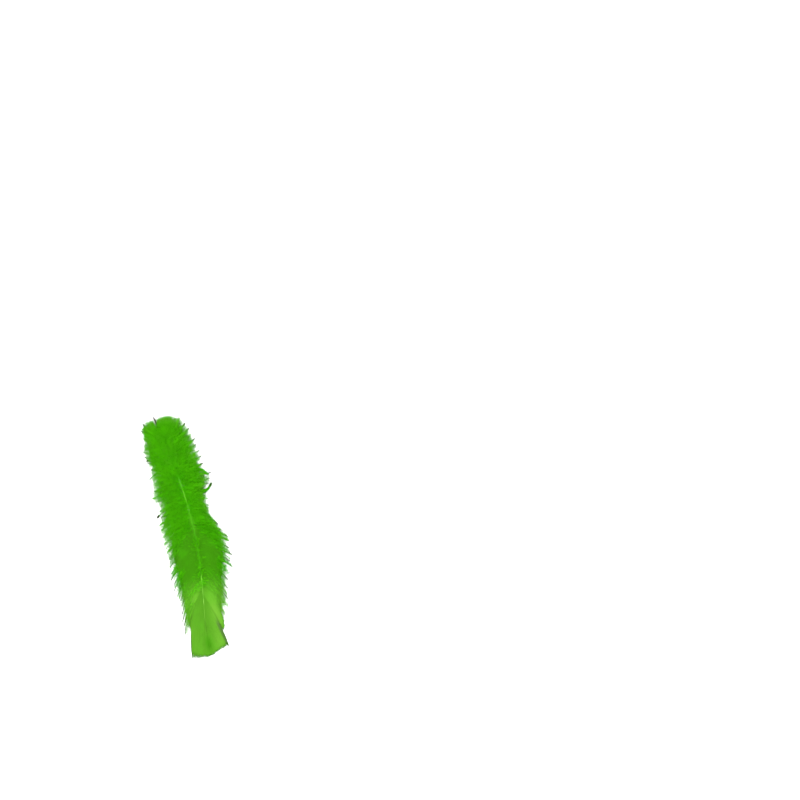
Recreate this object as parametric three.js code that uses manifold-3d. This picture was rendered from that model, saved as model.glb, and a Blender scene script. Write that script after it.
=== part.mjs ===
// A dyed turkey body feather, lying on its underside. It grew as one piece: a bare quill, a
// tapering shaft, soft down along most of its length and a firm vane that ends in a square tip.
// Millimetres. +Y runs from the tip towards the quill, +Z is up, and the surface is at z = 0.
import * as THREE from "three";
import { mergeVertices } from "three/addons/utils/BufferGeometryUtils.js";
import Module from "manifold-3d";

const wasm = await Module();
wasm.setup();

// The whole feather. "Along" is measured from the quill's end to the tip of the vane, and
// "across" from the straight line between them, positive on the side to which the shaft bows.
const LENGTH = 100;
const CENTRE_ACROSS = 5.2; // the middle of the outline, which stands over the origin
const SHAFT_BOW = 5.4; // sideways, at mid-length
const BOW_SHARPNESS = 1.3;

// The shaft's height over the surface: low at both ends and arched between them.
const QUILL_HEIGHT = 1.3;
const TIP_HEIGHT = 0.7;
const SHAFT_ARCH = 4.6;

// The shaft's own thickness.
const QUILL_RADIUS = 0.5;
const SHAFT_TIP_RADIUS = 0.16;
const SHAFT_END = 92; // along, where the last barbs carry on without it
const SHAFT_SIDES = 8;
const SHAFT_STEPS = 16;

// The outline of each side, from the quill to the corner of the square tip: [along, across].
const LEFT_EDGE = [
  [2.2, -1.9], [4.5, -5.6], [8, -6.8], [15, -7.6], [23, -6.5], [32, -7.3], [45, -7.3],
  [60, -7.3], [69, -8.0], [78, -7.1], [88, -6.6], [92, -5.7], [98.8, -6.9],
];
const RIGHT_EDGE = [
  [0.6, 2.2], [1.4, 6.8], [4, 10.6], [8, 12.8], [14, 14.6], [23, 14.8], [29, 16.2], [37, 13.0],
  [45, 13.2], [50, 16.2], [56.5, 18.4], [64, 17.6], [74, 13.6], [84, 10.6], [91, 7.8], [97.4, 9.0],
];
const TIP_MIDDLE = [100, 0.8]; // the tip bulges a little between its corners

// Locks of barbs, counted for each side.
const SIDE_LOCKS = 23;
const END_LOCKS = 5;
const UNDER_LOCKS = 6;
const CROWN_LOCKS = 8; // both sides together
const BARE_QUILL = 7; // along, where the first lock grows
const BASE_SPREAD = 0.745; // how far the locks' feet spread along the shaft, for each mm of outline
const LAST_FOOT = 90.5;

// A lock's own form. Down is thick and soft, and the vane is thin and flat.
const DOWN = { width: 6.2, thickness: 2.6, loft: 2.4, tipHeight: 1.0 };
const VANE = { width: 4.8, thickness: 0.9, loft: 0.5, tipHeight: 0.5 };
const UNDER = { width: 7.5, thickness: 3.4, loft: -0.6, reach: 0.62, tipHeight: -0.5 };
const CROWN = {
  width: 5.2, thickness: 2.6, loft: 4.7, across: 4.6, first: 1.6, spacing: 2.5, sweep: 6.5, rise: 1.9,
};
const VANE_STARTS = 56; // along, where the down begins to give way to the vane
const VANE_COMPLETE = 84;
const FOOT_SINK = 0.1; // a lock's foot lies this far under the middle of the shaft
const LOCK_SIDES = 6;
const POINTED = [[0, 0], [0.5, 0.04], [1, 0.38], [0.78, 0.7], [0.34, 0.9], [0, 1]];
const BLUNT = [[0, 0], [0.4, 0.04], [0.9, 0.4], [1, 0.75], [0.8, 0.985], [0, 1]];

const lerp = THREE.MathUtils.lerp;
const smooth = THREE.MathUtils.smoothstep;
const UP = new THREE.Vector3(0, 0, 1);

// A steady wobble between -1 and 1 that differs from lock to lock.
const wobble = (n) => Math.sin(n * 12.9898) * Math.cos(n * 4.1414);

// How far along its arc a place on the shaft is, as 0 at both ends and 1 in the middle.
const arc = (along) => Math.sin((Math.PI * THREE.MathUtils.clamp(along, 0, LENGTH)) / LENGTH);

function shaftPoint(along) {
  const across = SHAFT_BOW * arc(along) ** BOW_SHARPNESS;
  const height = lerp(QUILL_HEIGHT, TIP_HEIGHT, along / LENGTH) + SHAFT_ARCH * arc(along);
  return place(along, across, height);
}

// A point of the model from its place along and across the feather and its height.
function place(along, across, height) {
  return new THREE.Vector3(across - CENTRE_ACROSS, LENGTH / 2 - along, height);
}

// A closed spindle: a profile of [radius, share of length] turned round an axis, flattened to a
// width and a thickness, and bent along a curve.
function bentSpindle(curve, profile, sides, width, thickness) {
  const points = profile.map(([radius, share]) => new THREE.Vector2(radius, share));
  const geometry = new THREE.LatheGeometry(points, sides);
  const position = geometry.getAttribute("position");
  const flat = new THREE.Vector3();
  for (let i = 0; i < position.count; i++) {
    flat.fromBufferAttribute(position, i);
    const share = THREE.MathUtils.clamp(flat.y, 0, 1);
    const tangent = curve.getTangent(share);
    const side = new THREE.Vector3().crossVectors(tangent, UP).normalize();
    const normal = new THREE.Vector3().crossVectors(side, tangent);
    const bent = curve.getPoint(share);
    bent.addScaledVector(side, (flat.x * width) / 2).addScaledVector(normal, (flat.z * thickness) / 2);
    position.setXYZ(i, bent.x, bent.y, bent.z);
  }
  return solid(geometry);
}

// A three.js geometry as a manifold-3d solid.
function solid(geometry) {
  geometry.deleteAttribute("normal");
  geometry.deleteAttribute("uv");
  const merged = mergeVertices(geometry, 1e-4);
  return new wasm.Manifold(
    new wasm.Mesh({
      numProp: 3,
      vertProperties: merged.getAttribute("position").array,
      triVerts: new Uint32Array(merged.index.array),
    }),
  );
}

// The quill and the shaft, one tapering spindle with a rounded quill end.
function shaft() {
  const steps = Array.from({ length: SHAFT_STEPS + 1 }, (_, i) => shaftPoint((SHAFT_END * i) / SHAFT_STEPS));
  const profile = [[0, 0], [0.6, 0.006], [1, 0.03]];
  for (let i = 2; i <= SHAFT_STEPS; i++) {
    const share = i / SHAFT_STEPS;
    profile.push([lerp(1, SHAFT_TIP_RADIUS / QUILL_RADIUS, share), share]);
  }
  profile.push([0, 1]);
  const curve = new THREE.CatmullRomCurve3(steps);
  return bentSpindle(curve, profile, SHAFT_SIDES, 2 * QUILL_RADIUS, 2 * QUILL_RADIUS);
}

// One lock from its foot on the shaft to its tip. It leaves the shaft at a wide angle and sweeps
// towards the feather's tip, rising by its loft and sinking again.
function lock(footAlong, tip, form, profile) {
  const foot = shaftPoint(footAlong);
  foot.z -= FOOT_SINK;
  const middle = new THREE.Vector3(
    lerp(foot.x, tip.x, 0.62),
    lerp(foot.y, tip.y, 0.32),
    lerp(foot.z, tip.z, 0.35) + form.loft,
  );
  const curve = new THREE.QuadraticBezierCurve3(foot, middle, tip);
  return bentSpindle(curve, profile, LOCK_SIDES, form.width, form.thickness);
}

// The form of a lock by its place: down near the quill, vane near the tip.
function formAt(along) {
  const share = smooth(along, VANE_STARTS, VANE_COMPLETE);
  const mixed = {};
  for (const key of Object.keys(DOWN)) mixed[key] = lerp(DOWN[key], VANE[key], share);
  return mixed;
}

// The locks whose tips make the outline of one side.
function sideLocks(edge, seed) {
  const curve = new THREE.SplineCurve(edge.map(([along, across]) => new THREE.Vector2(along, across)));
  return Array.from({ length: SIDE_LOCKS }, (_, i) => {
    const tip = curve.getPointAt((i + 0.5) / SIDE_LOCKS);
    const form = formAt(tip.x);
    const height = form.tipHeight * (1.3 + wobble(seed + i));
    const foot = BARE_QUILL + BASE_SPREAD * tip.x;
    const profile = tip.x > VANE_COMPLETE ? BLUNT : POINTED;
    return lock(foot, place(tip.x, tip.y, height), form, profile);
  });
}

// The locks that carry on past the end of the shaft and make the square tip.
function endLocks(edge) {
  const [cornerAlong, cornerAcross] = edge[edge.length - 1];
  return Array.from({ length: END_LOCKS }, (_, i) => {
    const share = (i + 0.35) / END_LOCKS;
    const across = lerp(cornerAcross, TIP_MIDDLE[1], share);
    const bulge = Math.sin((share * Math.PI) / 2);
    const along = lerp(cornerAlong, TIP_MIDDLE[0], bulge);
    const foot = lerp(BARE_QUILL + BASE_SPREAD * cornerAlong, LAST_FOOT, share);
    return lock(foot, place(along, across, TIP_HEIGHT), VANE, BLUNT);
  });
}

// Short thick locks under the shaft, on which the feather rests.
function underLocks(edge) {
  const curve = new THREE.SplineCurve(edge.map(([along, across]) => new THREE.Vector2(along, across)));
  return Array.from({ length: UNDER_LOCKS }, (_, i) => {
    const outline = curve.getPointAt((i + 0.6) / (UNDER_LOCKS + 0.6));
    const foot = BARE_QUILL + BASE_SPREAD * outline.x;
    const shaftAt = shaftPoint(outline.x);
    const edgeAt = place(outline.x, outline.y, UNDER.tipHeight);
    const tip = edgeAt.lerp(shaftAt.setZ(UNDER.tipHeight), 1 - UNDER.reach);
    const share = smooth(outline.x, VANE_STARTS, LENGTH);
    const form = { ...UNDER, thickness: lerp(UNDER.thickness, VANE.thickness, share) };
    return lock(foot, tip, form, POINTED);
  });
}

// The tuft of down that rises over the quill and hides the foot of the shaft.
function crownLocks() {
  return Array.from({ length: CROWN_LOCKS }, (_, i) => {
    const side = i % 2 ? 1 : -1;
    const along = CROWN.first + CROWN.spacing * i;
    const foot = along + CROWN.sweep;
    const tip = shaftPoint(along);
    tip.x += side * CROWN.across;
    tip.z += CROWN.rise;
    return lock(foot, tip, CROWN, POINTED);
  });
}

const pieces = [
  shaft(),
  ...sideLocks(LEFT_EDGE, 1),
  ...sideLocks(RIGHT_EDGE, 40),
  ...endLocks(LEFT_EDGE),
  ...endLocks(RIGHT_EDGE),
  ...underLocks(LEFT_EDGE),
  ...underLocks(RIGHT_EDGE),
  ...crownLocks(),
];
const grown = pieces.reduce((whole, piece) => whole.add(piece));

// What would sink into the surface is flattened on it.
const below = new THREE.BoxGeometry(2 * LENGTH, 2 * LENGTH, LENGTH);
below.translate(0, 0, -LENGTH / 2);
const resting = grown.subtract(solid(below));

// Only the outer skin is kept, so the small pockets that the locks seal between them are filled.
const skin = resting.decompose().reduce((largest, body) => (body.volume() > largest.volume() ? body : largest));

const mesh = skin.getMesh();
const geometry = new THREE.BufferGeometry()
  .setAttribute("position", new THREE.BufferAttribute(mesh.vertProperties, 3))
  .setIndex(new THREE.BufferAttribute(mesh.triVerts, 1));
geometry.computeVertexNormals();

const dyedGreen = new THREE.MeshStandardMaterial({ color: 0x3ea408, roughness: 0.75, metalness: 0 });
const feather = new THREE.Mesh(geometry, dyedGreen);
feather.name = "feather";

const group = new THREE.Group();
group.add(feather);
export default group;
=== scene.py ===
import math

import bmesh
import bpy
import numpy as np
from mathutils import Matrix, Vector


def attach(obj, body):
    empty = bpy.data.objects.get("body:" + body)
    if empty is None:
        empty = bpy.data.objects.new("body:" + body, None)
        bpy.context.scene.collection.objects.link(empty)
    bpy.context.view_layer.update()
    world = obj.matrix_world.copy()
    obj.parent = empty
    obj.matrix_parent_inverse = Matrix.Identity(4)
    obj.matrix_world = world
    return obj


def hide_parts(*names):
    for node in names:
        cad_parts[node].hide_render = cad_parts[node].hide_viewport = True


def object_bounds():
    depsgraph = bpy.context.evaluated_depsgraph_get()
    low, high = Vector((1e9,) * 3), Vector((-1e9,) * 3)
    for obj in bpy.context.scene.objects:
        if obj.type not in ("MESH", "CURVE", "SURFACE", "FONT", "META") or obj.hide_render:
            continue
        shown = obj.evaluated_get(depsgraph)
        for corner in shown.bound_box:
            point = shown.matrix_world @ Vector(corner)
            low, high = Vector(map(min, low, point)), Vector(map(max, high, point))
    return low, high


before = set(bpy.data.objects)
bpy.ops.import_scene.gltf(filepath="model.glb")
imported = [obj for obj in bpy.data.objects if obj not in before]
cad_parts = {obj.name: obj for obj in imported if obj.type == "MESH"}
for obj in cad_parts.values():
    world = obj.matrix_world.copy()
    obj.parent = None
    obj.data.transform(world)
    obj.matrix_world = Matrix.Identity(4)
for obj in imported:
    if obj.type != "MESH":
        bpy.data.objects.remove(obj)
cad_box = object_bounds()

# The view. The photograph looks straight down on the surface that the feather lies on, and takes
# in much more of it than the feather. Two of its pixels, the quill's end and the tip of the vane,
# set the camera's place, turn and scale. Lengths are in millimetres, unless a comment says so.
MM = 0.001
LENGTH = 2 * cad_box[1].y / MM
CENTRE_ACROSS = 5.2  # how far the middle of the outline lies beside the line through both ends
PHOTO_PIXELS = 800
QUILL_PIXEL = Vector((154, 416))
TIP_PIXEL = Vector((209, 656))
CAMERA_HEIGHT = 1400
SENSOR = 36

run = TIP_PIXEL - QUILL_PIXEL
pixel = LENGTH / run.length
lean = math.atan2(run.x, run.y)
picture_right = Vector((math.cos(lean), -math.sin(lean), 0))
picture_down = Vector((-math.sin(lean), -math.cos(lean), 0))
offset = Vector((PHOTO_PIXELS / 2, PHOTO_PIXELS / 2)) - QUILL_PIXEL
view_centre = Vector((-CENTRE_ACROSS, LENGTH / 2, 0))
view_centre += (picture_right * offset.x + picture_down * offset.y) * pixel

camera = bpy.data.objects.new("camera", bpy.data.cameras.new("camera"))
camera.data.sensor_width = SENSOR
camera.data.lens = SENSOR * CAMERA_HEIGHT / (PHOTO_PIXELS * pixel)
camera.location = (view_centre + Vector((0, 0, CAMERA_HEIGHT))) * MM
camera.rotation_euler = (0, 0, -lean)
bpy.context.scene.collection.objects.link(camera)
bpy.context.scene.camera = camera
bpy.context.scene.view_settings.view_transform = "Standard"

# The surface and the light. A wide white floor under a white sky and two large soft lamps, so
# that only the feather's own form and its contact with the floor make shade. Here lengths are in
# metres.
FLOOR_RADIUS = 4.0
FLOOR_SIDES = 96
FLOOR_TONE = (0.95, 0.95, 0.95, 1)
FLOOR_ROUGHNESS = 0.9
SKY_TONE = (1, 1, 1, 1)
SKY_STRENGTH = 1.4
LAMPS = [
    {"name": "overhead", "place": (-0.2, 0.05, 1.3), "size": 0.5, "watts": 15.5},
    {"name": "key", "place": (0.55, 0.75, 1.05), "size": 0.7, "watts": 5.0},
]


def shader_of(material):
    material.use_nodes = True
    return material.node_tree.nodes["Principled BSDF"]


def placed(name, mesh, material):
    mesh.materials.append(material)
    made = bpy.data.objects.new(name, mesh)
    bpy.context.scene.collection.objects.link(made)
    return made


bm = bmesh.new()
bmesh.ops.create_circle(bm, cap_ends=True, segments=FLOOR_SIDES, radius=FLOOR_RADIUS)
floor_mesh = bpy.data.meshes.new("floor")
bm.to_mesh(floor_mesh)
bm.free()
floor_paint = bpy.data.materials.new("white floor")
shader_of(floor_paint).inputs["Base Color"].default_value = FLOOR_TONE
shader_of(floor_paint).inputs["Roughness"].default_value = FLOOR_ROUGHNESS
placed("floor", floor_mesh, floor_paint)

world = bpy.data.worlds.new("sky")
world.use_nodes = True
world.node_tree.nodes["Background"].inputs["Color"].default_value = SKY_TONE
world.node_tree.nodes["Background"].inputs["Strength"].default_value = SKY_STRENGTH
bpy.context.scene.world = world
for lamp in LAMPS:
    light = bpy.data.lights.new(lamp["name"], "AREA")
    light.shape = "DISK"
    light.size = lamp["size"]
    light.energy = lamp["watts"]
    stand = bpy.data.objects.new(lamp["name"], light)
    stand.location = lamp["place"]
    stand.rotation_euler = (-Vector(lamp["place"])).to_track_quat("-Z", "Y").to_euler()
    bpy.context.scene.collection.objects.link(stand)

# The shaft. One horny rod grows from the bare quill to a hair near the tip of the vane, bowed
# sideways and arched over the surface. Everything else grows on it.
SHAFT_BOW = 5.85
BOW_SHARPNESS = 1.3
BOW_LEAN = 0.93  # under 1, the bow is widest on the quill's side of the middle
QUILL_BEND = 0.5
QUILL_BENDS_TO = 4
QUILL_HEIGHT = 1.3
TIP_HEIGHT = 0.7
SHAFT_ARCH = 4.6
SHAFT_END = 93
SHAFT_RINGS = 60
SHAFT_SIDES = 12
SHAFT_RADIUS = {
    0: 0.14, 0.6: 0.3, 2: 0.36, 8: 0.36, 22: 0.16, 32: 0.16, 45: 0.15, 70: 0.14, 93: 0.06,
}
# The colour of the dyed horn, by the share of the whole length; it is paler in a stretch near 0.3.
# Painted highlights: the pale stops from 0.685 to 0.84, between darker ones, stand for light on the
# shaft's ridge.
HORN_DYE_AND_HIGHLIGHTS = {
    0: (0.06, 0.045, 0.045), 0.035: (0.055, 0.05, 0.035), 0.07: (0.03, 0.14, 0.003),
    0.22: (0.06, 0.38, 0.004), 0.25: (0.08, 0.42, 0.009), 0.3: (0.085, 0.43, 0.01),
    0.34: (0.14, 0.5, 0.024), 0.39: (0.075, 0.38, 0.007), 0.49: (0.045, 0.3, 0.003),
    0.53: (0.042, 0.25, 0.002), 0.66: (0.042, 0.25, 0.002),
    0.685: (0.19, 0.5, 0.05), 0.705: (0.08, 0.32, 0.01), 0.74: (0.18, 0.48, 0.05),
    0.76: (0.08, 0.32, 0.015), 0.78: (0.28, 0.6, 0.1), 0.795: (0.1, 0.32, 0.02),
    0.815: (0.15, 0.4, 0.035), 0.84: (0.14, 0.38, 0.035), 0.87: (0.08, 0.24, 0.016),
}
HORN_ROUGHNESS = 0.5
HORN_SHINE = 0.06
GRAIN_STRETCH = (2400, 60, 2400)  # fine across the shaft and long along it
GRAIN_DETAIL = 3.0
GRAIN_TINT = (0.8, 0.85, 0.7, 1)
SHORTEST = 1e-9  # so that nothing is divided by zero
NUDGE = (1e-6, 0, 0)  # gives a path that stands upright a side as well


def mixed(first, second, share):
    return first + (second - first) * share


def smooth(value, start, end):
    share = np.clip((value - start) / (end - start), 0, 1)
    return share * share * (3 - 2 * share)


def looked_up(table, at):
    """Values between those of a table, which has a value for each of some places."""
    return np.interp(at, list(table), list(table.values()))


def placed_at(along, across, height):
    """A place along the feather, across it and over the surface, as X, Y and Z."""
    return np.stack(np.broadcast_arrays(across - CENTRE_ACROSS, LENGTH / 2 - along, height), -1)


def shaft_across(along):
    share = (np.clip(along, 0, LENGTH) / LENGTH) ** BOW_LEAN
    bow = SHAFT_BOW * np.sin(np.pi * share) ** BOW_SHARPNESS
    return bow - QUILL_BEND * np.clip(1 - along / QUILL_BENDS_TO, 0, 1) ** 2


def shaft_point(along):
    arch = SHAFT_ARCH * np.sin(np.pi * np.clip(along, 0, LENGTH) / LENGTH)
    height = mixed(QUILL_HEIGHT, TIP_HEIGHT, along / LENGTH) + arch
    return placed_at(along, shaft_across(along), height)


def spindle(sides, rings):
    """A straight closed rod, extruded ring by ring and merged to a point: each vertex's place in
    its ring, its ring's number, and the faces, in an order that is the same each run."""
    bm = bmesh.new()
    bmesh.ops.create_circle(bm, cap_ends=True, segments=sides, radius=1)
    end = bm.faces[:]
    for _ in range(rings):
        grown = bmesh.ops.extrude_face_region(bm, geom=end)["geom"]
        end = [part for part in grown if isinstance(part, bmesh.types.BMFace)]
        ring = [part for part in grown if isinstance(part, bmesh.types.BMVert)]
        bmesh.ops.translate(bm, verts=ring, vec=(0, 0, 1))
    bmesh.ops.pointmerge(bm, verts=ring, merge_co=(0, 0, rings))
    bmesh.ops.triangulate(bm, faces=bm.faces[:])
    bmesh.ops.recalc_face_normals(bm, faces=bm.faces[:])
    places = np.array([v.co[:] for v in bm.verts])
    corners = [[v.index for v in f.verts] for f in bm.faces]
    firsts = [face.index(min(face)) for face in corners]
    faces = np.array(sorted(face[i:] + face[:i] for face, i in zip(corners, firsts)))
    bm.free()
    return {"ring": places[:, :2], "level": np.rint(places[:, 2]).astype(int), "faces": faces}


def unit(vectors):
    return vectors / np.maximum(np.linalg.norm(vectors, axis=-1, keepdims=True), SHORTEST)


def directions(paths):
    """The way on, the level way sideways and the way up at each point of each path."""
    onward = unit(np.gradient(paths, axis=1))
    side = unit(np.cross(onward, (0, 0, 1)) + NUDGE)
    return onward, side, np.cross(side, onward)


def swept(form, paths, half_width, half_height):
    """Copies of a spindle bent along paths, as one array of vertices and one of faces."""
    _, side, rise = directions(paths)
    level = form["level"]
    vertices = paths[:, level]
    vertices = vertices + side[:, level] * (form["ring"][:, 0] * half_width[:, level])[..., None]
    vertices = vertices + rise[:, level] * (form["ring"][:, 1] * half_height[:, level])[..., None]
    firsts = len(level) * np.arange(len(paths))
    return vertices.reshape(-1, 3), (form["faces"] + firsts[:, None, None]).reshape(-1, 3)


def strands_mesh(name, parts):
    """One mesh of several swept parts, with what each vertex keeps for its colour."""
    firsts = np.cumsum([0] + [len(part["vertices"]) for part in parts])
    vertices = np.concatenate([part["vertices"] for part in parts])
    faces = np.concatenate([part["faces"] + first for part, first in zip(parts, firsts)])
    mesh = bpy.data.meshes.new(name)
    mesh.from_pydata(vertices * MM, [], faces)
    for key in parts[0].keys() - {"vertices", "faces"}:
        values = np.concatenate([part[key] for part in parts]).astype(np.float32)
        mesh.attributes.new(key, "FLOAT", "POINT").data.foreach_set("value", values)
    mesh.shade_smooth()
    return mesh


def grown_piece(name, parts, material):
    """A finished piece of the feather, which all grew as one."""
    made = placed(name, strands_mesh(name, parts), material)
    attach(made, "root")
    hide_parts("feather")
    return made


def node(tree, kind, **sockets):
    """A shader node with its sockets set to values or linked to other nodes' outputs."""
    made = tree.nodes.new("ShaderNode" + kind)
    for name, value in sockets.items():
        socket = made.inputs[name.replace("_", " ")]
        if isinstance(value, bpy.types.NodeSocket):
            tree.links.new(value, socket)
        else:
            socket.default_value = value
    return made


def attribute(tree, name):
    made = tree.nodes.new("ShaderNodeAttribute")
    made.attribute_name = name
    return made.outputs["Fac"]


along = np.linspace(0, SHAFT_END, SHAFT_RINGS + 1)
radius = looked_up(SHAFT_RADIUS, along)[None]
rod, rod_faces = swept(spindle(SHAFT_SIDES, SHAFT_RINGS), shaft_point(along)[None], radius, radius)
share = np.clip((LENGTH / 2 - rod[:, 1]) / LENGTH, 0, 1)
shaft_part = {"vertices": rod, "faces": rod_faces, "share": share}

horn = bpy.data.materials.new("dyed horn with painted highlights")
shader = shader_of(horn)
tree = horn.node_tree
place = tree.nodes.new("ShaderNodeTexCoord").outputs["Object"]
streaks = node(tree, "Mapping", Vector=place, Scale=GRAIN_STRETCH)
grain = node(tree, "TexNoise", Vector=streaks.outputs["Vector"], Scale=1.0, Detail=GRAIN_DETAIL)
# The ramp gives the horn its dye and its painted highlights.
dye = node(tree, "ValToRGB", Fac=attribute(tree, "share"))
for position, colour in HORN_DYE_AND_HIGHLIGHTS.items():
    stop = dye.color_ramp.elements.new(position)
    stop.color = (*colour, 1)
# A new ramp has a white stop at its far end, which takes the last colour instead.
dye.color_ramp.elements[-1].color = (*colour, 1)
grained = node(
    tree, "MixRGB", Fac=grain.outputs["Fac"], Color1=dye.outputs["Color"], Color2=GRAIN_TINT
)
grained.blend_type = "MULTIPLY"
tree.links.new(grained.outputs["Color"], shader.inputs["Base Color"])
shader.inputs["Roughness"].default_value = HORN_ROUGHNESS
shader.inputs["Specular IOR Level"].default_value = HORN_SHINE
grown_piece("shaft", [shaft_part], horn)

# The down. Soft barbs stand along both sides of the shaft in a thick mat, and a few of them cling
# together here and there in thin tufts that stand out of it. Each barb is a hair with finer hairs,
# its barbules, all along it. Near the quill they point back over it, further on they sweep forward.
BARE_QUILL = 7  # along, where the first barbs grow
MAT_STARTS = 0.4  # beyond the bare quill
BASE_SPREAD = 0.745  # how far their feet spread along the shaft, for each mm of outline
# The outline of each side, as places along and across the feather.
LEFT_EDGE = np.array([
    (1.3, -1.4), (1.4, -2.8), (2.4, -4.7), (4.4, -6.2), (8, -6.4), (9.6, -6.0), (11, -7.1),
    (15.5, -7.5), (18, -7.1), (21, -6.0), (24.8, -6.3), (27, -6.3), (30, -6.9), (33, -7.4),
    (35.5, -6.4), (38, -5.9), (41, -6.8), (44, -7.3), (50, -7.2), (60, -7.2), (64, -7.4),
    (66.8, -8.2), (69.2, -8.0), (71.3, -7.9), (72.8, -6.8), (76.4, -6.9), (78.3, -6.7),
    (82, -6.7), (86.3, -7.5), (88.8, -7.1), (90.4, -6.3),
])
RIGHT_EDGE = np.array([
    (0.9, 1.5), (1.2, 6.3), (2.6, 9.6), (5.5, 11.6), (8, 12.8), (12.4, 14.5), (15, 14.6),
    (20, 15.2), (23.1, 15.0), (24.6, 14.4), (27.5, 16.8), (29.6, 16.9), (31.4, 16.4),
    (32.6, 14.4), (33.6, 13.6), (35, 13.6), (37.3, 13.9), (40.3, 13.5), (44, 13.2), (46.5, 14.2),
    (48.3, 15.8), (52, 16.9), (54.4, 18.4), (56.5, 19.2), (59, 18.4), (62.2, 18.6), (65, 17.4),
    (67.3, 17.9), (70, 15.6), (72.2, 15.0), (75.3, 13.7), (79, 12.4), (82.4, 12.1), (85.5, 10.2),
    (89.3, 8.4),
])
# Where tufts stand out of the mat, along the feather.
LEFT_TUFTS = [
    2.6, 4.9, 8, 11, 13.4, 15.5, 18.2, 21, 24.8, 27, 30, 32.6, 35.5, 38.4, 41, 44, 46, 49, 52,
    55.3, 58.5, 61.5, 64.3, 66.8, 69.2, 71.3, 73.4, 76.4, 78.4, 81, 83.6, 86.3, 88.6,
]
RIGHT_TUFTS = [
    1, 2.8, 5.5, 8, 10.3, 12.4, 15, 17.6, 20.1, 23.1, 27.5, 29.6, 31.6, 35, 37.3, 40.3, 44, 46.5,
    48.6, 51.5, 54.4, 56.5, 59.4, 62.2, 64.8, 67.3, 69.8, 72.2, 75.3, 78.8, 82.4, 85.5, 89.3,
]
# By the place along the feather: how much of the way to the outline the shortest and the longest
# barbs of the mat reach, and how many of the tufts have dark ends.
LEFT_MAT = {
    0: (0.8, 1.02, 0.2), 8: (0.66, 1.0, 0.4), 20: (0.68, 1.0, 0.4), 32: (0.74, 1.03, 0.3),
    44: (0.75, 1.05, 0.2), 60: (0.76, 1.04, 0.3), 65: (0.76, 1.04, 1.0), 90: (0.8, 1.06, 1.0),
}
RIGHT_MAT = {
    0: (0.84, 1.02, 0.2), 6: (0.74, 0.98, 0.6), 10: (0.68, 0.93, 0.9), 24: (0.71, 0.94, 0.9),
    43: (0.76, 0.97, 0.8), 47: (0.7, 0.94, 0.9), 53: (0.74, 0.98, 0.9), 60: (0.78, 1.03, 0.9),
    80: (0.78, 1.03, 0.8), 84: (0.78, 1.03, 0.3), 90: (0.78, 1.03, 0.0),
}
# Barbs for each millimetre of outline, by the place along the feather.
MAT_DENSITY = {0: 7.2, 8: 6.7, 15: 5.5, 24: 5.1, 45: 4.8, 60: 4.3, 90: 4.2}
EDGE_STEPS = 200  # in which the density is added up
# Barbs that grow side by side lie at different heights in the mat: each goes up by this share of
# its thickness, and starts again at the bottom.
LAYER_STEP = 0.382
BARB_STEPS = 12
FLOOR_GAP = 0.04

# A barb's way from its foot to its tip: how much of the way along, across and up its bend lies.
BEND_ON = 0.32
BEND_OUT = 0.62
BEND_UP = 0.35
WAVE_RATES = (0.6, 1.4)  # a barb wanders by so many of its waves
WAVE_SWELL = 0.8  # under 1, it wanders most before its middle

# How the barbules of one barb differ, as shares of the barb, of their length and of their angle.
FIRST_BARBULE = 0.01
LENGTH_SPREAD = (0.6, 1.15)
ANGLE_SPREAD = (0.75, 1.25)
THIN_OUT = (0.5, 1.0)  # where on the barb they become shorter

# The lean that near hairs have in common.
SWIRL_SIZE = 5.0
SWIRL_TURN = np.array([[0.8, -0.5, 0.3], [0.6, 0.7, -0.4], [-0.2, 0.5, 0.9]])
SWIRL_RATE = 1.7
SWIRL_SHIFT = 1.3

# The dye. Shares of the barb's length are counted from its foot.
DYE_SPREAD = 0.1  # between the barbules of one barb
DARKER_AT_FOOT = 0.45
FOOT_REACHES = 0.35
DRY_AND_SHADE_OVER = 0.15
# How pale it is, and where: from one place along the feather to the next it sets in or fades out.
# Towards the tip the vane is paler itself, and is also painted lighter for the light that shines
# through it.
TIP_PALENESS = 0.42
TIP_PALES = (66, 77)
MIDDLE_PALENESS = 0.4
MIDDLE_PALES = (40, 44)
MIDDLE_FADES = (49, 53)
MIDDLE_WIDTH = (0.02, 0.1)  # as shares of the barbs
# Painted light: the thin ends of the down are paler for the light that comes through them.
SHINE_THROUGH_PALENESS = 0.45
THIN_ENDS = (0.6, 0.95)  # as shares of the barbs
THIN_FADES = (56, 70)
# Each spot: its place along and across, its size, and how much paler it is.
PALE_SPOTS = [
    (84, 6.5, 2.2, 0.4), (95, 6, 2.4, 0.4), (95, 1.2, 1.4, -0.35), (89, -4, 2.0, 0.1),
    (96, -4, 2.2, 0.1),
]
SPOT_STRETCH = 2.2  # along the feather


def edge_reached(edge):
    """How far along the outline each of its corners is."""
    return np.concatenate([[0], np.cumsum(np.linalg.norm(np.diff(edge, axis=0), axis=1))])


def on_edge(edge, distance):
    """The place on the outline, as along and across, at a distance from its start."""
    return np.stack([np.interp(distance, edge_reached(edge), edge[:, i]) for i in (0, 1)], -1)


def scattered(rng, edge, start, end):
    """Distances along the outline, drawn so that they lie closer where the mat is denser."""
    steps = np.linspace(start, end, EDGE_STEPS)
    density = looked_up(MAT_DENSITY, on_edge(edge, steps)[:, 0])
    filled = np.cumsum(density) * (steps[1] - steps[0])
    count = int(filled[-1])
    return np.interp(np.arange(count) + rng.uniform(0, 1, count), filled, steps)


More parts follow.
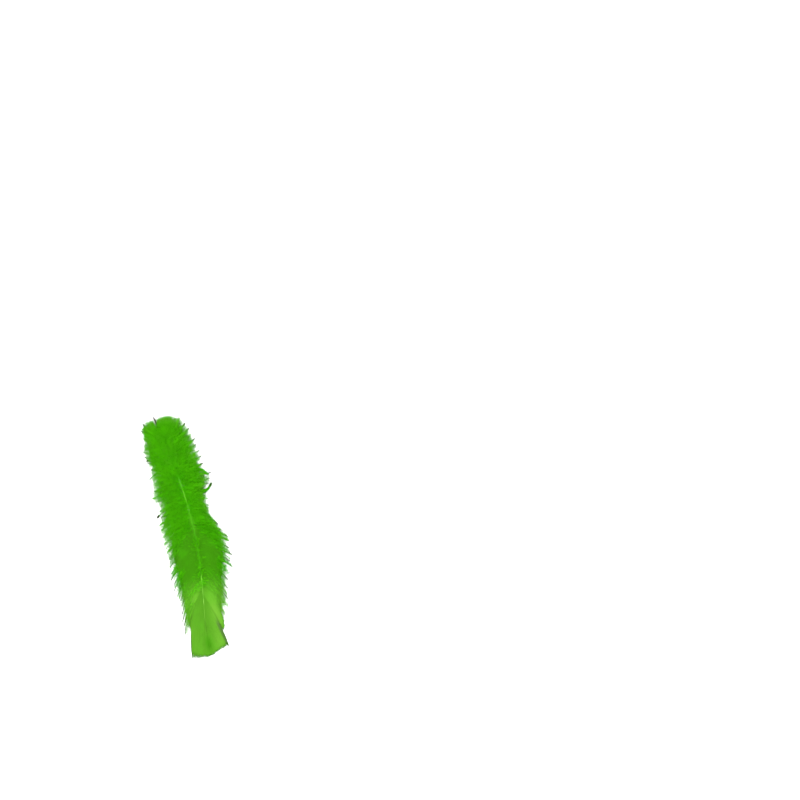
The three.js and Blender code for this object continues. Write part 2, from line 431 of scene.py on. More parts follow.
def barb_paths(feet, tips, loft, bend_on=BEND_ON, bend_out=BEND_OUT):
    """Curves that leave the shaft at a wide angle, rise by their loft and sweep to their tips."""
    bend_out, bend_on, loft = np.broadcast_arrays(bend_out, bend_on, loft, feet[:, 0])[:3]
    bend = np.stack([bend_out, bend_on, np.full_like(bend_on, BEND_UP)], -1)
    middle = mixed(feet, tips, bend)
    middle[:, 2] += loft
    share = np.linspace(0, 1, BARB_STEPS + 1)[None, :, None]
    start = (1 - share) ** 2 * feet[:, None]
    return start + 2 * share * (1 - share) * middle[:, None] + share**2 * tips[:, None]


def wavy(rng, paths, size, waves):
    """The same paths, wandering between their feet and their tips."""
    count, points, _ = paths.shape
    share = np.linspace(0, 1, points)[None, :, None]
    phase = rng.uniform(0, 2 * np.pi, (count, 1, 3))
    rate = rng.uniform(*WAVE_RATES, (count, 1, 3)) * waves
    strength = size * np.sin(np.pi * share**WAVE_SWELL)
    return paths + strength * np.sin(2 * np.pi * rate * share + phase)


def above_floor(points):
    points[..., 2] = np.maximum(points[..., 2], FLOOR_GAP)
    return points


def tapering(count, foot, tip):
    """The half thickness of some barbs at each of their steps."""
    return np.linspace(foot, tip, BARB_STEPS + 1)[None].repeat(count, 0)


def swirl(points):
    """A smooth field of directions, so that hairs that lie near each other lean the same way."""
    angle = points @ SWIRL_TURN * 2 * np.pi / SWIRL_SIZE
    return np.sin(angle) + np.sin(SWIRL_RATE * np.roll(angle, 1, axis=-1) + SWIRL_SHIFT)


def pale_at(points, share):
    """How pale the colour is: a little where the barbs lie on the middle of the shaft, and more
    towards the tip of the feather, where the vane is paler itself and also painted lighter for the
    light that shines through it. Where the down thins out, its ends are painted paler for the light
    that comes through the thin fibres."""
    along = LENGTH / 2 - points[..., 1]
    across = points[..., 0] + CENTRE_ACROSS
    tip = TIP_PALENESS * smooth(along, *TIP_PALES)
    for spot_along, spot_across, size, change in PALE_SPOTS:
        distance = np.hypot((along - spot_along) / SPOT_STRETCH, across - spot_across)
        tip = tip + change * np.exp(-((distance / size) ** 2))
    middle = MIDDLE_PALENESS * smooth(along, *MIDDLE_PALES) * (1 - smooth(along, *MIDDLE_FADES))
    middle = middle * (1 - smooth(share, *MIDDLE_WIDTH))
    shine_through = SHINE_THROUGH_PALENESS * smooth(share, *THIN_ENDS) * (1 - smooth(along, *THIN_FADES))
    return np.clip(tip + middle + shine_through, 0, 1)


def took_dye(tone, pale=1.0, dry_and_shade_from=0.8, dryness_and_shade=0.0):
    """How each barb took the dye: its tone, how much of the paleness of its place it shows, and
    from which share of its length its end is dark, and how much. The ends of the down are dry
    and undyed; on the vane's rolled edges the same darkening is painted shade."""
    columns = np.broadcast_arrays(tone, pale, dry_and_shade_from, dryness_and_shade)
    return dict(zip(("tone", "pale", "dry_and_shade_from", "dryness_and_shade"), columns))


def toned(dye, barb, share):
    """A little darker where the barbs leave the shaft."""
    return dye["tone"][barb] - DARKER_AT_FOOT * (1 - smooth(share, 0, FOOT_REACHES))


# Dark ends: dry ends of the down, and painted shade on the vane's rolled edges.
def dry_and_shaded_ends(dye, barb, share):
    starts = dye["dry_and_shade_from"][barb]
    return dye["dryness_and_shade"][barb] * smooth(share, starts, starts + DRY_AND_SHADE_OVER)


def barbs_part(form, paths, half_width, half_height, dye):
    vertices, faces = swept(form, paths, half_width, half_height)
    share = np.tile(form["level"] / form["level"].max(), len(paths))
    barb = np.repeat(np.arange(len(paths)), len(form["level"]))
    return {
        "vertices": above_floor(vertices),
        "faces": faces,
        "tone": toned(dye, barb, share),
        "dry": dry_and_shaded_ends(dye, barb, share),
        "pale": pale_at(vertices, share) * dye["pale"][barb],
    }


def barbules_part(rng, paths, per_mm, dye, shape, crowding=1.0):
    """The barbules, set left and right of each barb, and crowding towards its tip. Their shape is
    a function of the share of the barb at which each one grows and of the barb's number: their
    length and width, the angle at which they open from the barb and the spread of the one at
    which they lift from its plane, and how much they lean with the hairs near them."""
    spans = np.linalg.norm(np.diff(paths, axis=1), axis=2).sum(1)
    barb = np.repeat(np.arange(len(paths)), np.rint(spans * per_mm).astype(int))
    share = rng.uniform(FIRST_BARBULE, 1, len(barb)) ** crowding
    step = share * BARB_STEPS
    before = np.minimum(step.astype(int), BARB_STEPS - 1)
    root = mixed(paths[barb, before], paths[barb, before + 1], (step - before)[:, None])
    onward, side, rise = (ways[barb, before] for ways in directions(paths))
    form = shape(share, barb)
    length = form["length"] * rng.uniform(*LENGTH_SPREAD, len(barb))
    open_angle = (form["open"] * rng.uniform(*ANGLE_SPREAD, len(barb)))[:, None]
    lift = (form["lift"] * rng.standard_normal(len(barb)))[:, None]
    hand = rng.choice([-1, 1], len(barb))[:, None]
    outward = np.cos(lift) * side * hand + np.sin(lift) * rise
    way = np.cos(open_angle) * onward + np.sin(open_angle) * outward
    way = unit(way + np.broadcast_to(form["matting"], len(barb))[:, None] * swirl(root))
    end = above_floor(root + way * length[:, None])
    thick = np.repeat(np.broadcast_to(form["width"], len(barb))[:, None] / 2, 2, 1)
    vertices, faces = swept(HAIR, np.stack([root, end], 1), thick, thick)
    corners = len(HAIR["level"])
    tone = toned(dye, barb, share) + rng.uniform(-DYE_SPREAD, DYE_SPREAD, len(barb))
    return {
        "vertices": above_floor(vertices),
        "faces": faces,
        "tone": np.repeat(tone, corners),
        "dry": np.repeat(dry_and_shaded_ends(dye, barb, share), corners),
        "pale": np.repeat(pale_at(root, share) * dye["pale"][barb], corners),
    }


HAIR = spindle(3, 1)
BARB = spindle(3, BARB_STEPS)

# The dye, as one effect for all barbs: uneven from barb to barb and in soft patches, paler towards
# the tip of the feather, and missing where the ends of the barbs are dry and dark. The same dark
# mix paints the shade of the vane's rolled edges.
PATCH_SCALE = 230.0
PATCH_DETAIL = 2.0
PATCH_STRENGTH = 1.1
DEEPEST = 0.6
BRIGHTEST = 1.5
uneven_dye = bpy.data.node_groups.new("uneven dye", "ShaderNodeTree")
for socket in ("Deep", "Bright", "Pale", "Dry and shade"):
    uneven_dye.interface.new_socket(socket, in_out="INPUT", socket_type="NodeSocketColor")
uneven_dye.interface.new_socket("Colour", in_out="OUTPUT", socket_type="NodeSocketColor")
given = uneven_dye.nodes.new("NodeGroupInput").outputs
place = uneven_dye.nodes.new("ShaderNodeTexCoord").outputs["Object"]
patches = node(uneven_dye, "TexNoise", Vector=place, Scale=PATCH_SCALE, Detail=PATCH_DETAIL)
uneven = uneven_dye.nodes.new("ShaderNodeMath")
uneven.operation = "MULTIPLY_ADD"
uneven_dye.links.new(patches.outputs["Fac"], uneven.inputs[0])
uneven.inputs[1].default_value = PATCH_STRENGTH
uneven_dye.links.new(attribute(uneven_dye, "tone"), uneven.inputs[2])
brightness = node(
    uneven_dye, "MapRange", Value=uneven.outputs["Value"], From_Min=DEEPEST, From_Max=BRIGHTEST
)
colour = given["Deep"]
for mask, layer in (
    (brightness.outputs["Result"], given["Bright"]),
    (attribute(uneven_dye, "pale"), given["Pale"]),
    (attribute(uneven_dye, "dry"), given["Dry and shade"]),
):
    colour = node(uneven_dye, "MixRGB", Fac=mask, Color1=colour, Color2=layer).outputs["Color"]
uneven_dye.links.new(colour, uneven_dye.nodes.new("NodeGroupOutput").inputs["Colour"])

# The dark colour of dry keratin, also used as painted shade on the vane's rolled edges.
DRY_KERATIN_AND_SHADE = (0.045, 0.052, 0.03, 1)
BARB_SHINE = 0.03


def dyed_barbs(name, deep, bright, pale, roughness):
    made = bpy.data.materials.new(name)
    shader = shader_of(made)
    dye = made.node_tree.nodes.new("ShaderNodeGroup")
    dye.node_tree = uneven_dye
    layers = {"Deep": deep, "Bright": bright, "Pale": pale, "Dry and shade": DRY_KERATIN_AND_SHADE}
    for socket, value in layers.items():
        dye.inputs[socket].default_value = value
    made.node_tree.links.new(dye.outputs["Colour"], shader.inputs["Base Color"])
    shader.inputs["Roughness"].default_value = roughness
    shader.inputs["Specular IOR Level"].default_value = BARB_SHINE
    return made


down_dye = dyed_barbs(
    "dyed down",
    deep=(0.055, 0.4, 0.0008, 1),
    bright=(0.094, 0.53, 0.002, 1),
    pale=(0.165, 0.49, 0.03, 1),
    roughness=0.8,
)

# Along each side the free down gives way to the down that lies under the vane.
VANE_STARTS = 46
VANE_COMPLETE = 66
SINKS_UNDER_VANE = 0.4
# What changes on the way: its value in the free down and under the vane.
DOWN_TO_VANE = {
    "drawn into tufts": (0.28, 0.55),
    "mat thickness": (2.6, 1.0),
    "loft": (2.1, -0.2),
    "loft between layers": (0.65, 0.4),
    "droop": (1, 0.5),
    "wandering": (0.3, 0.12),
    "dries from": (0.81, 0.78),
    "thinning of tufts": (0.65, 0.6),
    "lift of barbules": (0.5, 0.3),
}
TUFT_WIDTH = 1.3
TUFT_STRETCH = (0.98, 1.08)  # how much of the way to the outline the tufts reach
TUFT_UNEVENNESS = 0.07
DARK_PULL = 0.92  # how far the barbs of a dark tuft are drawn together, and of a green one
GREEN_PULL = 0.65
GATHERS = (0.5, 0.97)
DROOP = (0.2, 2.2)  # the height of the tips over the surface
TIP_LAYERS = 0.25
SIDE_WAVES = 1.3
SIDE_RADII = (0.05, 0.03)
SIDE_TONE = 0.5
LESS_TONE = 0.35  # where the vane begins
LESS_TONE_SETS_IN = (48, 60)
LESS_TONE_FADES = (76, 84)
TUFT_TONE_SPREAD = 0.08
BARB_TONE_SPREAD = 0.12
TUFT_DRYNESS = 0.9
MAT_DRYNESS = 0.1
PALER_BY_TIP = 1.8
PALER_SETS_IN = (66, 76)
BARBULES_PER_MM = 9.2
BARBULE_CROWDING = 0.85
BARBULE_LENGTH = 1.7
LENGTH_BY_SHAFT = 0.3  # how much of it they have where the barb starts
FULL_FROM = 0.16
LENGTH_UNDER_VANE = (0.5, 0.6)  # how much of it is left there, in tufts and in the mat
MAT_THINNING = 0.25
BARBULES_OPEN = 0.95
TUFTS_CLOSE_TO = 0.55
BARBULE_WIDTH = 0.128
NARROWER_BY_TIP = 0.45
MATTING = 0.14
LESS_MATTING = 0.6  # under the vane


def by_place(what, vaneness):
    return mixed(*DOWN_TO_VANE[what], vaneness)


def side_down(name, edge, tufts, mat, seed, first, last):
    """The mat and the tufts of one side, between two shares of the length of its outline."""
    rng = np.random.default_rng(seed)
    reached = edge_reached(edge)
    distance = scattered(rng, edge, first * reached[-1], last * reached[-1])
    centres = np.interp(tufts, edge[:, 0], reached)
    tuft = np.abs(distance[:, None] - centres).argmin(1)
    own = on_edge(edge, distance)
    shared = on_edge(edge, centres[tuft])
    vaneness = smooth(own[:, 0], VANE_STARTS, VANE_COMPLETE)

    # Which barbs cling together, and how far each one reaches.
    nearest, furthest, often = (
        np.interp(own[:, 0], list(mat), column) for column in np.array(list(mat.values())).T
    )
    dark = rng.uniform(0, 1, len(centres))[tuft] < often
    drawn = rng.uniform(0, 1, len(distance)) < by_place("drawn into tufts", vaneness)
    tufted = drawn & (np.abs(distance - centres[tuft]) < TUFT_WIDTH)
    stretch = rng.uniform(*TUFT_STRETCH, len(centres))[tuft]
    mat_reach = mixed(nearest, furthest, rng.uniform(0, 1, len(distance)))
    tuft_reach = stretch - TUFT_UNEVENNESS * rng.uniform(0, 1, len(distance))
    reach = np.where(tufted, tuft_reach, mat_reach)
    pull = np.where(tufted, np.where(dark, DARK_PULL, GREEN_PULL), 0)

    # Their ways from the shaft to the outline.
    layer = 2 * (np.arange(len(distance)) * LAYER_STEP % 1) - 1
    feet = shaft_point(BARE_QUILL + MAT_STARTS + BASE_SPREAD * own[:, 0])
    feet[:, 2] -= SINKS_UNDER_VANE * vaneness
    thickness = by_place("mat thickness", vaneness)
    droop = rng.uniform(*DROOP, len(centres))[tuft] * by_place("droop", vaneness)
    tips = placed_at(own[:, 0], own[:, 1], droop + TIP_LAYERS * thickness * layer)
    tips = mixed(feet, tips, reach[:, None])
    loft = by_place("loft", vaneness)
    loft = loft + by_place("loft between layers", vaneness) * thickness * layer
    paths = barb_paths(feet, tips, loft)
    share = np.linspace(0, 1, BARB_STEPS + 1)[:, None]
    gather = (pull[:, None] * (shared - own))[:, None] * smooth(share, *GATHERS)
    paths[..., 0] += gather[..., 1]
    paths[..., 1] -= gather[..., 0]
    wandering = by_place("wandering", vaneness)[:, None, None]
    paths = above_floor(wavy(rng, paths, wandering, SIDE_WAVES))

    # How they took the dye.
    less = smooth(own[:, 0], *LESS_TONE_SETS_IN) * (1 - smooth(own[:, 0], *LESS_TONE_FADES))
    tone = SIDE_TONE - LESS_TONE * less
    tone = tone + rng.uniform(-TUFT_TONE_SPREAD, TUFT_TONE_SPREAD, len(centres))[tuft]
    tone = tone + rng.uniform(-BARB_TONE_SPREAD, BARB_TONE_SPREAD, len(tuft))
    dryness_and_shade = np.where(tufted & dark, TUFT_DRYNESS, MAT_DRYNESS * rng.uniform(0, 1, len(tuft)))
    pale = mixed(1.0, PALER_BY_TIP, smooth(own[:, 0], *PALER_SETS_IN))
    dye = took_dye(tone, pale, by_place("dries from", vaneness), dryness_and_shade)

    def shape(share, barb):
        apart = tufted[barb]
        vane = vaneness[barb]
        thinning = np.where(apart, by_place("thinning of tufts", vane), MAT_THINNING)
        full = mixed(LENGTH_BY_SHAFT, 1, smooth(share, 0, FULL_FROM))
        full = full * (1 - thinning * smooth(share, *THIN_OUT))
        return {
            "length": BARBULE_LENGTH * full * mixed(1, np.where(apart, *LENGTH_UNDER_VANE), vane),
            "open": np.where(apart, mixed(BARBULES_OPEN, TUFTS_CLOSE_TO, share), BARBULES_OPEN),
            "lift": by_place("lift of barbules", vane),
            "width": BARBULE_WIDTH * (1 - NARROWER_BY_TIP * share),
            "matting": MATTING * (1 - LESS_MATTING * vane),
        }

    radius = tapering(len(tuft), *SIDE_RADII)
    barbs = barbs_part(BARB, paths, radius, radius, dye)
    barbules = barbules_part(rng, paths, BARBULES_PER_MM, dye, shape, BARBULE_CROWDING)
    return grown_piece(name, [barbs, barbules], down_dye)


side_down("down_left_by_quill", LEFT_EDGE, LEFT_TUFTS, LEFT_MAT, 1, 0, 0.5)
side_down("down_left_by_vane", LEFT_EDGE, LEFT_TUFTS, LEFT_MAT, 2, 0.5, 1)
side_down("down_right_by_quill", RIGHT_EDGE, RIGHT_TUFTS, RIGHT_MAT, 3, 0, 0.5)
side_down("down_right_by_vane", RIGHT_EDGE, RIGHT_TUFTS, RIGHT_MAT, 4, 0.5, 1)

# The tuft over the quill. The first barbs of all lean back over the shaft and to both sides of
# it, so the down hides the foot of the shaft and only the quill's end shows.
CREST_BARBS = 320
CREST_FEET = (7.6, 26.5)
CREST_CROWDING = 1.7  # of the feet, towards the quill
CREST_GETS_LOW = (14, 24)
LOW_SPREAD = 0.5  # how much is left there of the barbs' spread and of their rise
LOW_LOFT = 0.35
CREST_SWEEP = (4.0, 9.0)
CREST_SPREAD = 6.5
CREST_RISE = (-1.8, 0.6)
CREST_LOFT = (0.5, 2.4)
CREST_WANDERING = 0.5
CREST_WAVES = 1.2
CREST_TONE = (0.3, 0.7)
CREST_DRYNESS = 0.12
FINE_RADII = (0.05, 0.02)
CREST_BARBULES_PER_MM = 8
CREST_BARBULE_LENGTH = 1.6
SHORTER_BY_TIP = 0.45
# By the distance beside the shaft: how near to the quill's end the barbs may reach.
CREST_STARTS = {-6: 4.0, -2.2: 2.2, -1.0: 3.0, -0.5: 6.2, 0.4: 6.2, 0.9: 1.8, 6.5: 1.7}


def crest_shape(share, barb):
    length = CREST_BARBULE_LENGTH * (1 - SHORTER_BY_TIP * smooth(share, *THIN_OUT))
    return {"length": length, "open": 0.95, "lift": 0.55, "width": 0.12, "matting": 0.2}


rng = np.random.default_rng(5)
foot = mixed(*CREST_FEET, rng.uniform(0, 1, CREST_BARBS) ** CREST_CROWDING)
low = smooth(foot, *CREST_GETS_LOW)
sideways = CREST_SPREAD * rng.uniform(-1, 1, CREST_BARBS) * mixed(1, LOW_SPREAD, low)
swept_back = foot - rng.uniform(*CREST_SWEEP, CREST_BARBS)
tip_along = np.maximum(swept_back, looked_up(CREST_STARTS, sideways))
feet = shaft_point(foot)
tips = placed_at(tip_along, shaft_across(tip_along) + sideways, 0)
tips[:, 2] = feet[:, 2] + rng.uniform(*CREST_RISE, CREST_BARBS) * mixed(1, LOW_SPREAD, low)
loft = rng.uniform(*CREST_LOFT, CREST_BARBS) * mixed(1, LOW_LOFT, low)
paths = wavy(rng, barb_paths(feet, tips, loft), CREST_WANDERING, CREST_WAVES)
paths = above_floor(paths)
dye = took_dye(rng.uniform(*CREST_TONE, CREST_BARBS), dryness_and_shade=CREST_DRYNESS)
radius = tapering(CREST_BARBS, *FINE_RADII)
barbs = barbs_part(BARB, paths, radius, radius, dye)
barbules = barbules_part(rng, paths, CREST_BARBULES_PER_MM, dye, crest_shape)
grown_piece("down_over_quill", [barbs, barbules], down_dye)

# Matted locks. In a few places barbs have stuck together for most of their length: a hooked lock,
# the two that edge the bulges of the right side, and some loose hairs, two of them with a knot.
# Each lock's way is given as along, across and height, then its barbs and how far they lie apart.
LOCKS = [
    {
        "way": [(31, 5, 5.2), (33.2, 9, 4.2), (33.9, 12.7, 3), (33.5, 14.8, 2.4), (31.8, 16.6, 2)],
        "barbs": 22, "apart": 0.6, "dry_and_shade_from": 0.76,
    },
    {
        "way": [(27, 4.8, 5.2), (25.6, 9.5, 4.4), (25, 12.8, 3), (26, 14.6, 2.4), (28, 16.1, 1.8)],
        "barbs": 9, "apart": 0.5, "dry_and_shade_from": 0.92,
    },
    {
        "way": [(37, 5.2, 5.4), (40, 9, 4.6), (43, 11.6, 3.4), (45.5, 13.4, 2.6), (48.5, 15.2, 2)],
        "barbs": 6, "apart": 0.5, "dry_and_shade_from": 0.78,
    },
    {
        "way": [(22, 4, 5.2), (22.6, -1.5, 4), (23.4, -5, 2.4), (24.9, -7.6, 1.6)],
        "barbs": 3, "apart": 0.12, "dry_and_shade_from": 0.74,
    },
    {
        "way": [(15.5, 3, 5), (15.6, -2, 3.6), (16.2, -4.6, 2.4), (17.3, -6.6, 1.6)],
        "barbs": 3, "apart": 0.1, "dry_and_shade_from": 0.8,
    },
    {
        "way": [(36, 5, 5.4), (37.5, -1.5, 3.6), (38.9, -5, 2.2), (40.2, -7.4, 1.4)],
        "barbs": 2, "apart": 0.08, "dry_and_shade_from": 0.8,
    },
]
LOCK_CLOSES = 0.7  # how much nearer the barbs lie to each other at the lock's end
LOCK_TONE = 0.15
LOCK_TONE_SPREAD = 0.15
LOCK_PALENESS = 0.3
LOCK_DRYNESS = 0.75
LOCK_BARBULES_PER_MM = 8
LOCK_BARBULE_LENGTH = (1.4, 0.7)  # at the start and at the end of the barb
KNOTS = [
    {"start": (16.8, -6.2, 3.4), "end": (17.8, -6.9, 3.0), "width": 0.75},
    {"start": (39.6, -6.8, 1.6), "end": (40.9, -8.0, 1.2), "width": 1.1},
]
KNOT_BLUNTNESS = 0.6
KNOT_FIRST = 0.04  # where on its round profile the knot's blunt end is


def through(places):
    """A smooth path through a few places given as along, across and height."""
    ends = np.array([places[0], *places, places[-1]], float)
    step = np.linspace(0, len(places) - 1, BARB_STEPS + 1)
    number = np.minimum(step.astype(int), len(places) - 2)
    part = (step - number)[:, None]
    before, first, second, after = (ends[number + i] for i in range(4))
    turn = 3 * (first - second) + after - before
    bend = 2 * before - 5 * first + 4 * second - after + part * turn
    return placed_at(*(first + 0.5 * part * (second - before + part * bend)).T)


def lock_shape(share, barb):
    length = mixed(*LOCK_BARBULE_LENGTH, share)
    return {"length": length, "open": 0.55, "lift": 0.5, "width": 0.09, "matting": 0.1}


rng = np.random.default_rng(10)
share = np.linspace(0, 1, BARB_STEPS + 1)[:, None]
matted = []
for lock in LOCKS:
    count = lock["barbs"]
    apart = rng.standard_normal((count, 1, 3)) * lock["apart"] * (1 - LOCK_CLOSES * share)
    paths = above_floor(through(lock["way"]) + apart)
    tone = LOCK_TONE + rng.uniform(-LOCK_TONE_SPREAD, LOCK_TONE_SPREAD, count)
    dye = took_dye(tone, LOCK_PALENESS, lock["dry_and_shade_from"], LOCK_DRYNESS)
    radius = tapering(count, *SIDE_RADII)
    matted.append(barbs_part(BARB, paths, radius, radius, dye))
    matted.append(barbules_part(rng, paths, LOCK_BARBULES_PER_MM, dye, lock_shape))
for knot in KNOTS:
    path = placed_at(*mixed(np.array(knot["start"]), np.array(knot["end"]), share).T)[None]
    round_share = np.linspace(KNOT_FIRST, 1, BARB_STEPS + 1)
    bulge = knot["width"] / 2 * np.sin(np.pi * round_share)[None] ** KNOT_BLUNTNESS
    all_dry = took_dye(np.zeros(1), pale=0, dry_and_shade_from=-1, dryness_and_shade=1)
    matted.append(barbs_part(BARB, path, bulge, bulge, all_dry))
grown_piece("matted_locks", matted, down_dye)

# The down underneath. Shorter barbs hang from both sides of the shaft to the surface, where they
# are pressed flat and carry the feather.
UNDER_BARBS = 160
UNDER_PART = (0.03, 0.97)  # of the outline
UNDER_REACH = 0.74
UNDER_REACH_SPREAD = (0.8, 1.2)
UNDER_TIPS = (0, 0.6)
UNDER_LOFT = (-1.6, -0.2)
UNDER_WANDERING = 0.3
UNDER_WAVES = 1.2
UNDER_TONE = 0.9
UNDER_TONE_SPREAD = 0.25
UNDER_BARBULES_PER_MM = 4.2
UNDER_BARBULE_LENGTH = 2.0


def under_shape(share, barb):
    length = UNDER_BARBULE_LENGTH * (1 - SHORTER_BY_TIP * smooth(share, *THIN_OUT))
    return {"length": length, "open": 1.0, "lift": 0.4, "width": 0.2, "matting": 0.3}


for name, edge, seed in (("down_under_left", LEFT_EDGE, 6), ("down_under_right", RIGHT_EDGE, 7)):
    rng = np.random.default_rng(seed)
    evenly = (np.arange(UNDER_BARBS) + rng.uniform(0, 1, UNDER_BARBS)) / UNDER_BARBS
    own = on_edge(edge, mixed(*UNDER_PART, evenly) * edge_reached(edge)[-1])
    feet = shaft_point(BARE_QUILL + BASE_SPREAD * own[:, 0])
    tips = placed_at(own[:, 0], own[:, 1], rng.uniform(*UNDER_TIPS, UNDER_BARBS))
    reach = UNDER_REACH * rng.uniform(*UNDER_REACH_SPREAD, UNDER_BARBS)[:, None]
    tips[:, :2] = mixed(feet, tips, reach)[:, :2]
    paths = barb_paths(feet, tips, rng.uniform(*UNDER_LOFT, UNDER_BARBS))
    paths = above_floor(wavy(rng, paths, UNDER_WANDERING, UNDER_WAVES))
    tone = UNDER_TONE + rng.uniform(-UNDER_TONE_SPREAD, UNDER_TONE_SPREAD, UNDER_BARBS)
    dye = took_dye(tone)
    radius = tapering(UNDER_BARBS, *FINE_RADII)
    barbs = barbs_part(BARB, paths, radius, radius, dye)
    barbules = barbules_part(rng, paths, UNDER_BARBULES_PER_MM, dye, under_shape)
    grown_piece(name, [barbs, barbules], down_dye)

# The vane. Further out the barbs are flat ribbons, and their barbules hook into each other, so
# they make one thin ribbed sheet. Its last barbs run past the end of the shaft in a fan with a
# square end, which lies over the side barbs and whose right edge is rolled under.
VANE_PITCH = 0.27
PITCH_SPREAD = 0.05
RIBBON_THICKNESS = 0.05
FOOT_SINK = 0.14
FOOT_WIDTH = 0.11
RIBBON = spindle(4, BARB_STEPS)
# Each row: where a barb grows on the shaft, its tip's place along and across, and how far along
# and across it bends on its way. The edge of the fan is rolled under as far as the barb that
# grows at "rolled_to", by "depth", and painted shade darkens the barbs of that fold from a share
# of their length on, by a given amount.
VANE_HALVES = [
    {
        "name": "vane_left",
        "side": np.array([
            (42, 45, -0.5, 0.32, 0.62), (46, 50.5, -3.8, 0.32, 0.62), (50, 56, -4.8, 0.32, 0.62),
            (57, 64.5, -4.5, 0.32, 0.62), (62.5, 71.7, -4.3, 0.32, 0.62),
            (66.5, 77, -4.3, 0.32, 0.63), (70.5, 82.3, -4.6, 0.32, 0.66),
            (73, 86.5, -4.9, 0.32, 0.7), (74.4, 88.4, -4.6, 0.32, 0.7),
        ]),
        "fan": np.array([
            (72.8, 98.9, -6.8, 0.27, 0.74), (80, 99.6, -3.8, 0.36, 0.68),
            (86, 100, -0.6, 0.45, 0.6), (90.5, 99.9, 1.3, 0.5, 0.5),
        ]),
        "rolled_to": 73.7, "depth": 0.3, "painted_shade_from": 0.66, "dryness_and_shade": 0.6, "paleness": 1.9,
    },
    {
        "name": "vane_right",
        "side": np.array([
            (42, 47, 10.5, 0.32, 0.62), (46, 52, 13.5, 0.32, 0.62), (50, 56.5, 15.0, 0.32, 0.62),
            (55, 62, 14.4, 0.32, 0.62), (60, 68.5, 12.5, 0.32, 0.62), (64, 74, 11.0, 0.32, 0.62),
            (68, 79.5, 9.6, 0.34, 0.62), (72, 84.5, 8.9, 0.37, 0.62), (75, 88.4, 9.0, 0.4, 0.66),
            (76.2, 90.4, 8.7, 0.42, 0.66), (77.8, 90.4, 7.5, 0.42, 0.62),
        ]),
        "fan": np.array([
            (74.8, 97.6, 8.9, 0.45, 0.62), (78, 97.3, 7.7, 0.45, 0.56), (84, 98.5, 4.9, 0.47, 0.5),
            (90.5, 99.8, 1.4, 0.5, 0.5),
        ]),
        "rolled_to": 77.6, "depth": 0.8, "painted_shade_from": 0.46, "dryness_and_shade": 0.55, "paleness": 1.45,
    },
]
# Heights and loft, where the vane lies over the down and where it comes down to the surface.
VANE_TIPS = (1.9, 0.45)
TIPS_COME_DOWN = (60, 97)
VANE_LOFT = (1.6, 0.2)
LOFT_COMES_DOWN = (44, 76)
FAN_LIES_LOWER = 0.05
LONGEST = 1.015  # shares of the way to the tip
UNEVEN_ENDS = 0.045
MOSTLY_LONG = 2.5
VANE_WANDERING = 0.05
VANE_WAVES = 1.0
ROLLS = (0.5, 0.9)
ROLL_DARKENS = 4
WIDENS = (0, 0.4)
NARROWS = (0.92, 1.0)
NARROWS_BY = 0.75
# What differs between the barbs of the sides and those of the fan.
SIDE = {"dry_and_shade_from": 0.88, "dryness_and_shade": 0.1, "half_width": 0.25}
FAN = {"dry_and_shade_from": 0.9, "dryness_and_shade": 0.15, "half_width": 0.18, "tone": 0.1, "paleness": 1.0}
SIDE_TONES = {44: 0.35, 50: 0.12, 58: 0.02, 66: 0.1, 74: 0.95}
SIDE_FIRST_PALENESS = 0.2
SIDE_PALES = (58, 68)
RIB_TONE = 0.08
RIB_RATE = 1.1
VANE_TONE_SPREAD = 0.08
# How much of a barb's length is hooked to its neighbours, at the start of the vane and further
# on. Beyond it the barbules are loose.
HOOKED = (0.35, 0.85)
HOOKS_BETTER = (42, 58)
LOOSENS = (0.1, 0.15)  # from so much before that place to so much beyond it
VANE_BARBULES_PER_MM = 8
vane_dye = dyed_barbs(
    "dyed vane",
    deep=(0.025, 0.145, 0.0006, 1),
    bright=(0.034, 0.24, 0.0008, 1),
    pale=(0.096, 0.268, 0.018, 1),
    roughness=0.7,
)

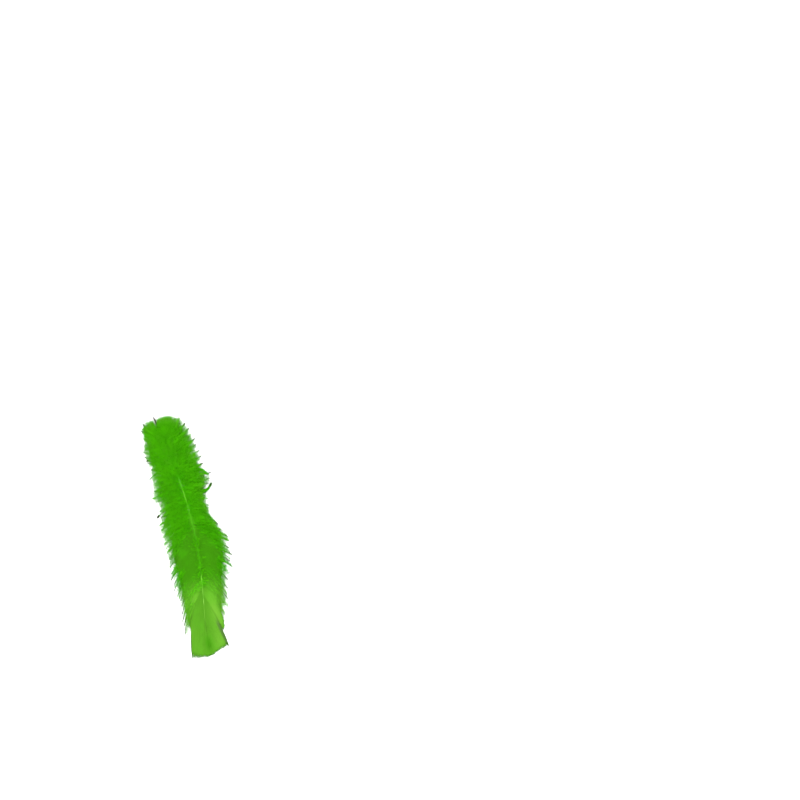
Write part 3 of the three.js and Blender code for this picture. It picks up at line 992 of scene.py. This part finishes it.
for number, half in enumerate(VANE_HALVES):
    rng = np.random.default_rng(8 + number)
    rows = []
    for table in (half["side"], half["fan"]):
        foot = np.arange(table[0, 0], table[-1, 0], VANE_PITCH)
        foot = foot + rng.uniform(-PITCH_SPREAD, PITCH_SPREAD, len(foot))
        rows.append(np.array([foot] + [np.interp(foot, table[:, 0], row) for row in table.T[1:]]))
    foot, tip_along, tip_across, bend_on, bend_out = np.concatenate(rows, axis=1)
    in_fan = np.arange(len(foot)) >= rows[0].shape[1]

    feet = shaft_point(foot) - (0, 0, FOOT_SINK)
    tip_height = mixed(*VANE_TIPS, smooth(tip_along, *TIPS_COME_DOWN))
    tips = placed_at(tip_along, tip_across, tip_height)
    reach = LONGEST - UNEVEN_ENDS * rng.uniform(0, 1, len(foot)) ** MOSTLY_LONG
    tips = mixed(feet, tips, reach[:, None])
    loft = mixed(*VANE_LOFT, smooth(foot, *LOFT_COMES_DOWN)) - FAN_LIES_LOWER * in_fan
    paths = barb_paths(feet, tips, loft, bend_on, bend_out)
    paths = wavy(rng, paths, VANE_WANDERING, VANE_WAVES)
    share = np.linspace(0, 1, BARB_STEPS + 1)
    edge_width = half["rolled_to"] - half["fan"][0, 0]
    rolled = in_fan * np.clip((half["rolled_to"] - foot) / edge_width, 0, 1)
    paths[..., 2] -= half["depth"] * rolled[:, None] * smooth(share, *ROLLS)
    paths = above_floor(paths)

    # Painted shade: the barbs of the rolled edges get the dark mix towards their ends, for the
    # shade of the fold.
    dark = np.minimum(ROLL_DARKENS * rolled, 1)
    tone = np.where(in_fan, FAN["tone"], looked_up(SIDE_TONES, foot))
    tone = tone + RIB_TONE * np.sin(foot * RIB_RATE + number)
    tone = tone + rng.uniform(-VANE_TONE_SPREAD, VANE_TONE_SPREAD, len(foot))
    dry_and_shade_from = np.where(in_fan, FAN["dry_and_shade_from"], SIDE["dry_and_shade_from"])
    dry_and_shade_from = np.where(dark > 0, half["painted_shade_from"], dry_and_shade_from)
    dryness_and_shade = np.where(in_fan, FAN["dryness_and_shade"], SIDE["dryness_and_shade"])
    dryness_and_shade = np.where(dark > 0, half["dryness_and_shade"] * dark, dryness_and_shade)
    side_pale = mixed(SIDE_FIRST_PALENESS, half["paleness"], smooth(foot, *SIDE_PALES))
    dye = took_dye(tone, np.where(in_fan, FAN["paleness"], side_pale), dry_and_shade_from, dryness_and_shade)

    broad = np.where(in_fan, FAN["half_width"], SIDE["half_width"])[:, None]
    widths = mixed(FOOT_WIDTH, broad, smooth(share, *WIDENS))
    widths = widths * (1 - NARROWS_BY * smooth(share, *NARROWS))
    thick = np.full_like(widths, RIBBON_THICKNESS)
    hooked_to = np.where(in_fan, 1.0, mixed(*HOOKED, smooth(foot, *HOOKS_BETTER)))

    def knit(share, barb):
        loose = smooth(share, hooked_to[barb] - LOOSENS[0], hooked_to[barb] + LOOSENS[1])
        return {
            "length": mixed(0.5, 0.9, loose),
            "open": 0.7,
            "lift": mixed(0.08, 0.6, loose),
            "width": 0.08,
            "matting": 0,
        }

    barbs = barbs_part(RIBBON, paths, widths, thick, dye)
    barbules = barbules_part(rng, paths, VANE_BARBULES_PER_MM, dye, knit)
    ribbed = grown_piece(half["name"], [barbs, barbules], vane_dye)
    # Smooth shading would darken the ends of the flat ribbons.
    ribbed.data.shade_flat()
